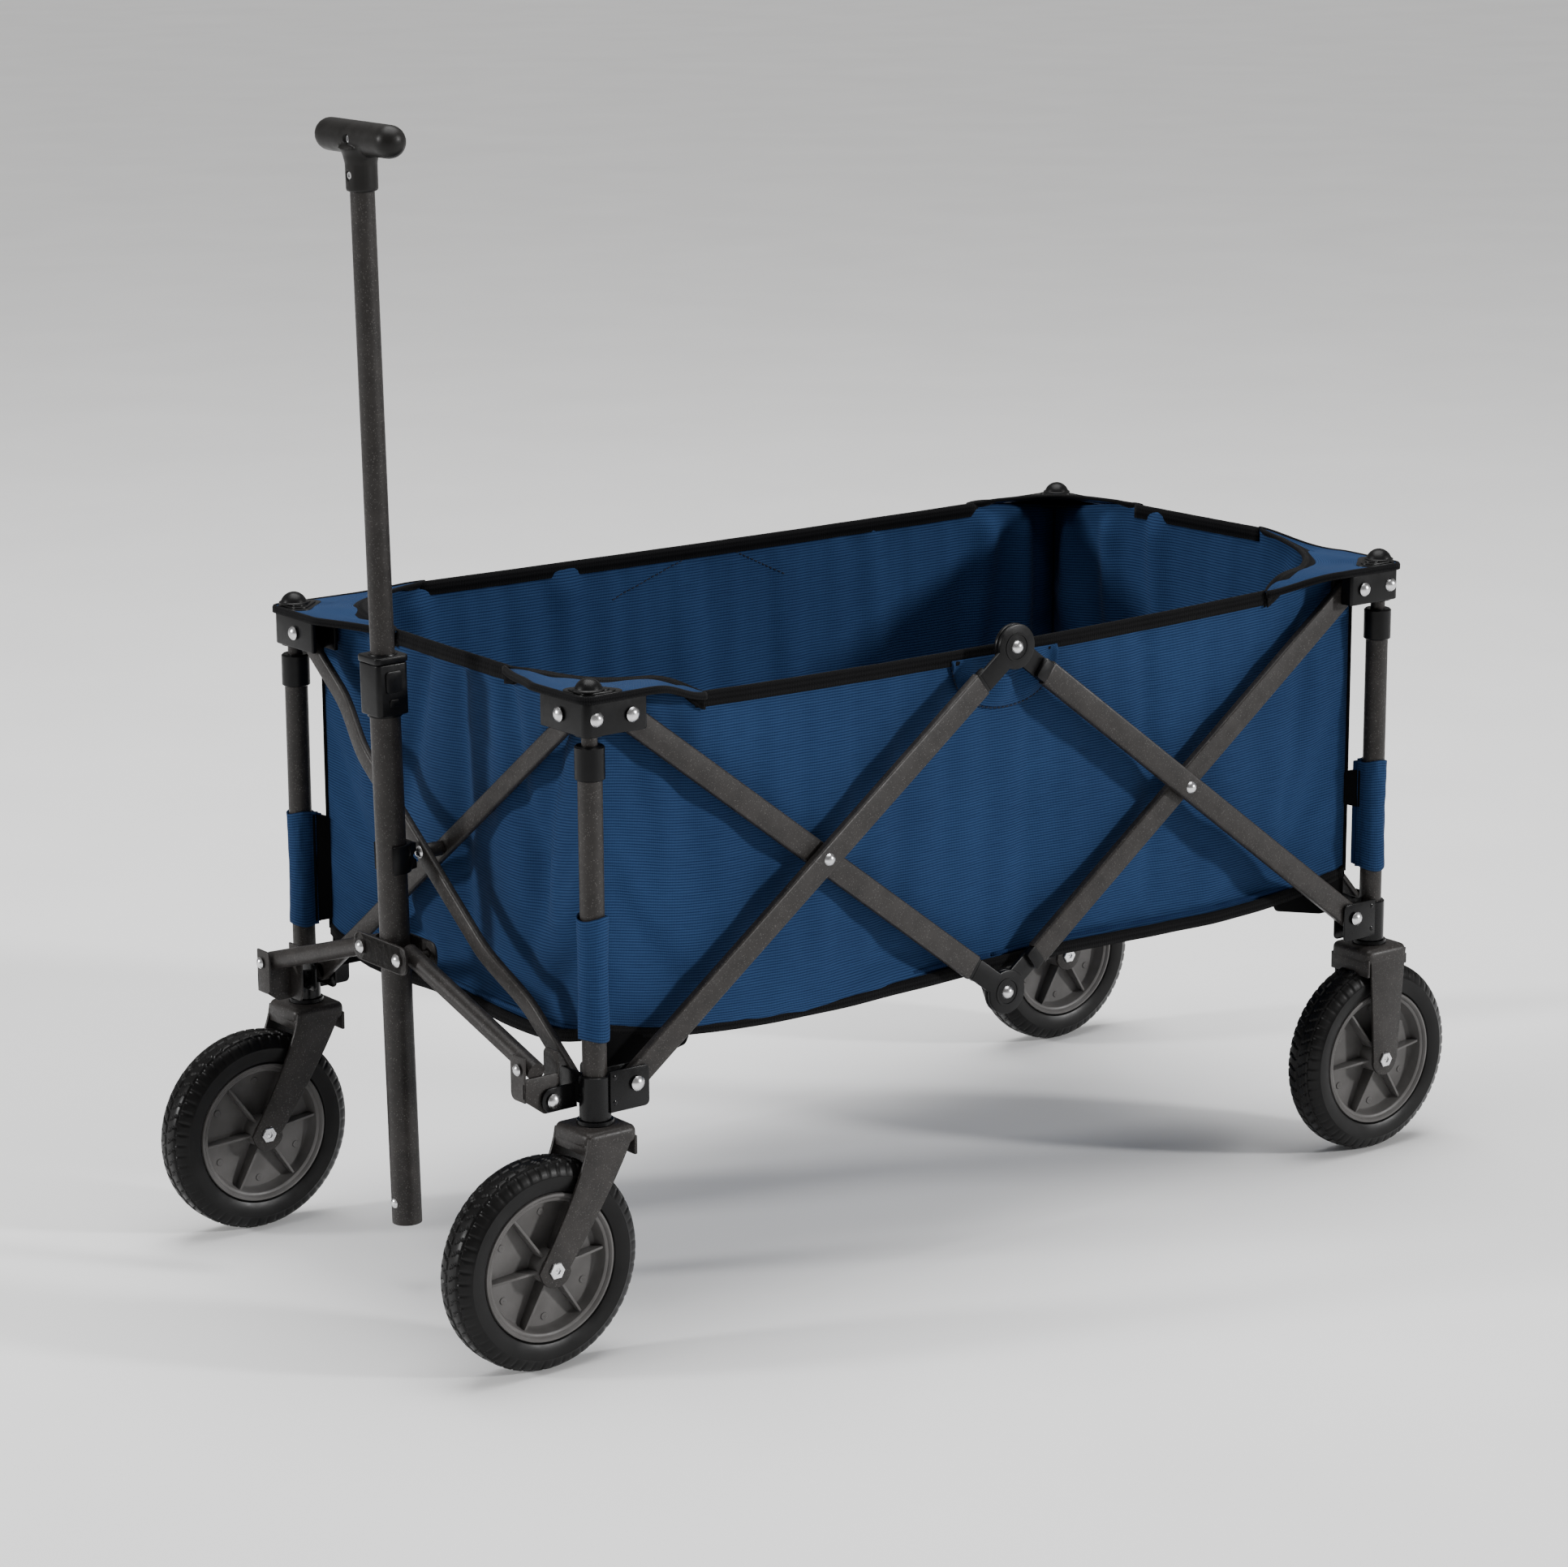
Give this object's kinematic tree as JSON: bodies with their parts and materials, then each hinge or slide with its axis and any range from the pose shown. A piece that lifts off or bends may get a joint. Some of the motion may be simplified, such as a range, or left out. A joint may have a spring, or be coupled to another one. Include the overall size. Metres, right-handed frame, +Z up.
{
  "type": "folding utility wagon",
  "caption": "Collapsible four-wheel wagon: fabric tub on a crossing-bar steel frame, swivelling front wheels and a telescoping T-grip pull handle.",
  "frame": {"origin": "on the ground under the middle of the whole wagon's outline", "axes": "+Z up, +X towards the rear, the handle is at -X, +Y to the far side"},
  "size_m": [1.098, 0.502, 0.9834],
  "materials": {
    "frame_steel": "charcoal powder coat with a fine sparkle",
    "black_plastic": "moulded semi-gloss black plastic",
    "blue_fabric": "coated woven polyester",
    "black_fabric": "black binding tape and webbing",
    "tyre": "moulded black tyre",
    "hub_grey": "moulded grey plastic",
    "rivet_steel": "plated steel rivets and washers"
  },
  "bodies": {
    "corner_fn": {"bottom_bracket_fn": "frame_steel", "post_tube_fn": "frame_steel", "post_collar_fn": "black_plastic"},
    "corner_ff": {"bottom_bracket_ff": "frame_steel", "post_tube_ff": "frame_steel", "post_collar_ff": "black_plastic"},
    "corner_rn": {"bottom_bracket_rn": "frame_steel", "post_tube_rn": "frame_steel", "post_collar_rn": "black_plastic", "rear_fork_near": "frame_steel"},
    "corner_rf": {"bottom_bracket_rf": "frame_steel", "post_tube_rf": "frame_steel", "post_collar_rf": "black_plastic", "rear_fork_far": "frame_steel"},
    "top_fn": {"top_bracket_fn": "black_plastic", "post_rod_fn": "frame_steel", "tub_walls": "blue_fabric"},
    "top_ff": {"top_bracket_ff": "black_plastic", "post_rod_ff": "frame_steel"},
    "top_rn": {"top_bracket_rn": "black_plastic", "post_rod_rn": "frame_steel"},
    "top_rf": {"top_bracket_rf": "black_plastic", "post_rod_rf": "frame_steel"},
    "bar_front_outer_near": {"side_bar_front_outer_near": "frame_steel"},
    "bar_front_inner_near": {"side_bar_front_inner_near": "frame_steel"},
    "bar_rear_outer_near": {"side_bar_rear_outer_near": "frame_steel"},
    "bar_rear_inner_near": {"side_bar_rear_inner_near": "frame_steel"},
    "bar_front_outer_far": {"side_bar_front_outer_far": "frame_steel"},
    "bar_front_inner_far": {"side_bar_front_inner_far": "frame_steel"},
    "bar_rear_outer_far": {"side_bar_rear_outer_far": "frame_steel"},
    "bar_rear_inner_far": {"side_bar_rear_inner_far": "frame_steel"},
    "bar_front_end_outer": {"front_bar_outer": "frame_steel"},
    "bar_front_end_inner": {"front_bar_inner": "frame_steel"},
    "bar_rear_end_outer": {"rear_bar_outer": "frame_steel"},
    "bar_rear_end_inner": {"rear_bar_inner": "frame_steel"},
    "yoke_bracket_near": {"yoke_bracket_near": "frame_steel"},
    "yoke_bracket_far": {"yoke_bracket_far": "frame_steel"},
    "yoke_near": {"yoke_tube_near": "frame_steel"},
    "yoke_far": {"yoke_tube_far": "frame_steel"},
    "handle": {"handle_outer_tube": "frame_steel", "handle_lock_collar": "black_plastic", "handle_bracket": "frame_steel", "handle_clip": "black_plastic"},
    "handle_upper": {"handle_inner_tube": "frame_steel", "handle_grip": "black_plastic"},
    "caster_near": {"caster_fork_near": "frame_steel"},
    "wheel_fn": {"hub_fn": "hub_grey", "tyre_fn": "tyre"},
    "wheel_rn": {"hub_rn": "hub_grey", "tyre_rn": "tyre"},
    "caster_far": {"caster_fork_far": "frame_steel"},
    "wheel_ff": {"hub_ff": "hub_grey", "tyre_ff": "tyre"},
    "wheel_rf": {"hub_rf": "hub_grey", "tyre_rf": "tyre"},
    "floor_front": {"tub_floor_front": "blue_fabric"},
    "floor_rear": {"tub_floor_rear": "blue_fabric"}
  },
  "joints": [
    {"name": "fold", "type": "hinge", "parent": "corner_fn", "child": "bar_front_outer_near", "pos_m": [-0.3715, -0.2215, 0.226], "axis": [0, -1, 0], "range_deg": [0, 38], "deforming": ["tub_walls", "tub_floor_front", "tub_floor_rear"]},
    {"name": "side_mid_top_near", "type": "hinge", "parent": "bar_front_outer_near", "child": "bar_rear_outer_near", "pos_m": [0.0285, -0.2215, 0.53], "axis": [0, -1, 0], "range_deg": [-76.5, 0]},
    {"name": "side_cross_front_near", "type": "hinge", "parent": "bar_front_outer_near", "child": "bar_front_inner_near", "pos_m": [-0.1715, -0.2215, 0.378], "axis": [0, -1, 0], "range_deg": [-76.5, 0]},
    {"name": "side_cross_rear_near", "type": "hinge", "parent": "bar_rear_outer_near", "child": "bar_rear_inner_near", "pos_m": [0.2285, -0.2215, 0.378], "axis": [0, -1, 0], "range_deg": [0, 76.5]},
    {"name": "side_lower_rear_near", "type": "hinge", "parent": "bar_rear_outer_near", "child": "corner_rn", "pos_m": [0.4285, -0.2215, 0.226], "axis": [0, -1, 0], "range_deg": [0, 38.5]},
    {"name": "side_top_rear_near", "type": "hinge", "parent": "bar_rear_inner_near", "child": "top_rn", "pos_m": [0.4285, -0.2215, 0.53], "axis": [0, -1, 0], "range_deg": [-38.5, 0]},
    {"name": "side_top_front_near", "type": "hinge", "parent": "bar_front_inner_near", "child": "top_fn", "pos_m": [-0.3715, -0.2215, 0.53], "axis": [0, -1, 0], "range_deg": [0, 38.5]},
    {"name": "side_lower_front_far", "type": "hinge", "parent": "corner_ff", "child": "bar_front_outer_far", "pos_m": [-0.3715, 0.2215, 0.226], "axis": [0, -1, 0], "range_deg": [0, 38.5]},
    {"name": "side_mid_top_far", "type": "hinge", "parent": "bar_front_outer_far", "child": "bar_rear_outer_far", "pos_m": [0.0285, 0.2215, 0.53], "axis": [0, -1, 0], "range_deg": [-76.5, 0]},
    {"name": "side_cross_front_far", "type": "hinge", "parent": "bar_front_outer_far", "child": "bar_front_inner_far", "pos_m": [-0.1715, 0.2215, 0.378], "axis": [0, -1, 0], "range_deg": [-76.5, 0]},
    {"name": "side_cross_rear_far", "type": "hinge", "parent": "bar_rear_outer_far", "child": "bar_rear_inner_far", "pos_m": [0.2285, 0.2215, 0.378], "axis": [0, -1, 0], "range_deg": [0, 76.5]},
    {"name": "side_lower_rear_far", "type": "hinge", "parent": "bar_rear_outer_far", "child": "corner_rf", "pos_m": [0.4285, 0.2215, 0.226], "axis": [0, -1, 0], "range_deg": [0, 38.5]},
    {"name": "side_top_rear_far", "type": "hinge", "parent": "bar_rear_inner_far", "child": "top_rf", "pos_m": [0.4285, 0.2215, 0.53], "axis": [0, -1, 0], "range_deg": [-38.5, 0]},
    {"name": "front_lower_near", "type": "hinge", "parent": "corner_fn", "child": "bar_front_end_outer", "pos_m": [-0.403, -0.2, 0.226], "axis": [1, 0, 0], "range_deg": [0, 38.5]},
    {"name": "front_cross", "type": "hinge", "parent": "bar_front_end_outer", "child": "bar_front_end_inner", "pos_m": [-0.403, 0, 0.378], "axis": [1, 0, 0], "range_deg": [-76.5, 0]},
    {"name": "front_lower_far", "type": "hinge", "parent": "bar_front_end_inner", "child": "corner_ff", "pos_m": [-0.403, 0.2, 0.226], "axis": [1, 0, 0], "range_deg": [0, 38.5]},
    {"name": "front_top_far", "type": "hinge", "parent": "bar_front_end_outer", "child": "top_ff", "pos_m": [-0.403, 0.2, 0.53], "axis": [1, 0, 0], "range_deg": [-38.5, 0]},
    {"name": "rear_lower_near", "type": "hinge", "parent": "corner_rn", "child": "bar_rear_end_outer", "pos_m": [0.46, -0.2, 0.226], "axis": [1, 0, 0], "range_deg": [0, 38.5]},
    {"name": "rear_cross", "type": "hinge", "parent": "bar_rear_end_outer", "child": "bar_rear_end_inner", "pos_m": [0.46, 0, 0.378], "axis": [1, 0, 0], "range_deg": [-76.5, 0]},
    {"name": "handle_tilt", "type": "hinge", "parent": "corner_fn", "child": "yoke_bracket_near", "pos_m": [-0.4355, -0.2, 0.217], "axis": [0, -1, 0], "range_deg": [0, 88]},
    {"name": "handle_tilt_far", "type": "hinge", "parent": "corner_ff", "child": "yoke_bracket_far", "pos_m": [-0.4355, 0.2, 0.217], "axis": [0, -1, 0], "range_deg": [-0.5, 88.5]},
    {"name": "yoke_near_pivot", "type": "hinge", "parent": "yoke_bracket_near", "child": "yoke_near", "pos_m": [-0.4485, -0.198, 0.245], "axis": [1, 0, 0], "range_deg": [0, 65.1]},
    {"name": "yoke_near_top", "type": "hinge", "parent": "yoke_near", "child": "handle", "pos_m": [-0.4485, -0.028, 0.298], "axis": [1, 0, 0], "range_deg": [-65.1, 0]},
    {"name": "yoke_far_top", "type": "hinge", "parent": "handle", "child": "yoke_far", "pos_m": [-0.4485, 0.028, 0.298], "axis": [1, 0, 0], "range_deg": [-65.1, 0]},
    {"name": "handle_slide", "type": "slide", "parent": "handle", "child": "handle_upper", "axis": [0.0192, 0, -0.9998], "range_m": [0, 0.37]},
    {"name": "caster_swivel_near", "type": "hinge", "parent": "corner_fn", "child": "caster_near", "pos_m": [-0.403, -0.2215, 0.18], "axis": [0, 0, 1], "continuous": true},
    {"name": "wheel_spin_fn", "type": "hinge", "parent": "caster_near", "child": "wheel_fn", "pos_m": [-0.46, -0.2215, 0.089], "axis": [0, 1, 0], "continuous": true},
    {"name": "wheel_spin_rn", "type": "hinge", "parent": "corner_rn", "child": "wheel_rn", "pos_m": [0.46, -0.2215, 0.089], "axis": [0, 1, 0], "continuous": true},
    {"name": "caster_swivel_far", "type": "hinge", "parent": "corner_ff", "child": "caster_far", "pos_m": [-0.403, 0.2215, 0.18], "axis": [0, 0, 1], "continuous": true},
    {"name": "wheel_spin_ff", "type": "hinge", "parent": "caster_far", "child": "wheel_ff", "pos_m": [-0.46, 0.2215, 0.089], "axis": [0, 1, 0], "continuous": true},
    {"name": "wheel_spin_rf", "type": "hinge", "parent": "corner_rf", "child": "wheel_rf", "pos_m": [0.46, 0.2215, 0.089], "axis": [0, 1, 0], "continuous": true},
    {"name": "floor_fold_front", "type": "hinge", "parent": "corner_fn", "child": "floor_front", "pos_m": [-0.3825, 0, 0.245], "axis": [0, -1, 0], "range_deg": [0, 70.8]},
    {"name": "floor_fold_rear", "type": "hinge", "parent": "corner_rn", "child": "floor_rear", "pos_m": [0.4395, 0, 0.245], "axis": [0, 1, 0], "range_deg": [0, 70.8]}
  ],
  "couplings": [
    {"joint": "side_mid_top_near", "follows": "fold", "ratio": -2},
    {"joint": "side_cross_front_near", "follows": "fold", "ratio": -2},
    {"joint": "side_cross_rear_near", "follows": "fold", "ratio": 2},
    {"joint": "side_lower_rear_near", "follows": "fold", "ratio": 1},
    {"joint": "side_top_rear_near", "follows": "fold", "ratio": -1},
    {"joint": "side_top_front_near", "follows": "fold", "ratio": 1},
    {"joint": "side_lower_front_far", "follows": "fold", "ratio": 1},
    {"joint": "side_mid_top_far", "follows": "fold", "ratio": -2},
    {"joint": "side_cross_front_far", "follows": "fold", "ratio": -2},
    {"joint": "side_cross_rear_far", "follows": "fold", "ratio": 2},
    {"joint": "side_lower_rear_far", "follows": "fold", "ratio": 1},
    {"joint": "side_top_rear_far", "follows": "fold", "ratio": -1},
    {"joint": "front_lower_near", "follows": "fold", "ratio": 1},
    {"joint": "front_cross", "follows": "fold", "ratio": -2},
    {"joint": "front_lower_far", "follows": "fold", "ratio": 1},
    {"joint": "front_top_far", "follows": "fold", "ratio": -1},
    {"joint": "rear_lower_near", "follows": "fold", "ratio": 1},
    {"joint": "rear_cross", "follows": "fold", "ratio": -2},
    {"joint": "handle_tilt_far", "follows": "handle_tilt", "ratio": 1},
    {"joint": "yoke_near_pivot", "follows": "fold", "ratio": 1.7},
    {"joint": "yoke_near_top", "follows": "fold", "ratio": -1.7},
    {"joint": "yoke_far_top", "follows": "fold", "ratio": -1.7},
    {"joint": "floor_fold_front", "follows": "fold", "ratio": 1.85},
    {"joint": "floor_fold_rear", "follows": "fold", "ratio": 1.85}
  ]
}
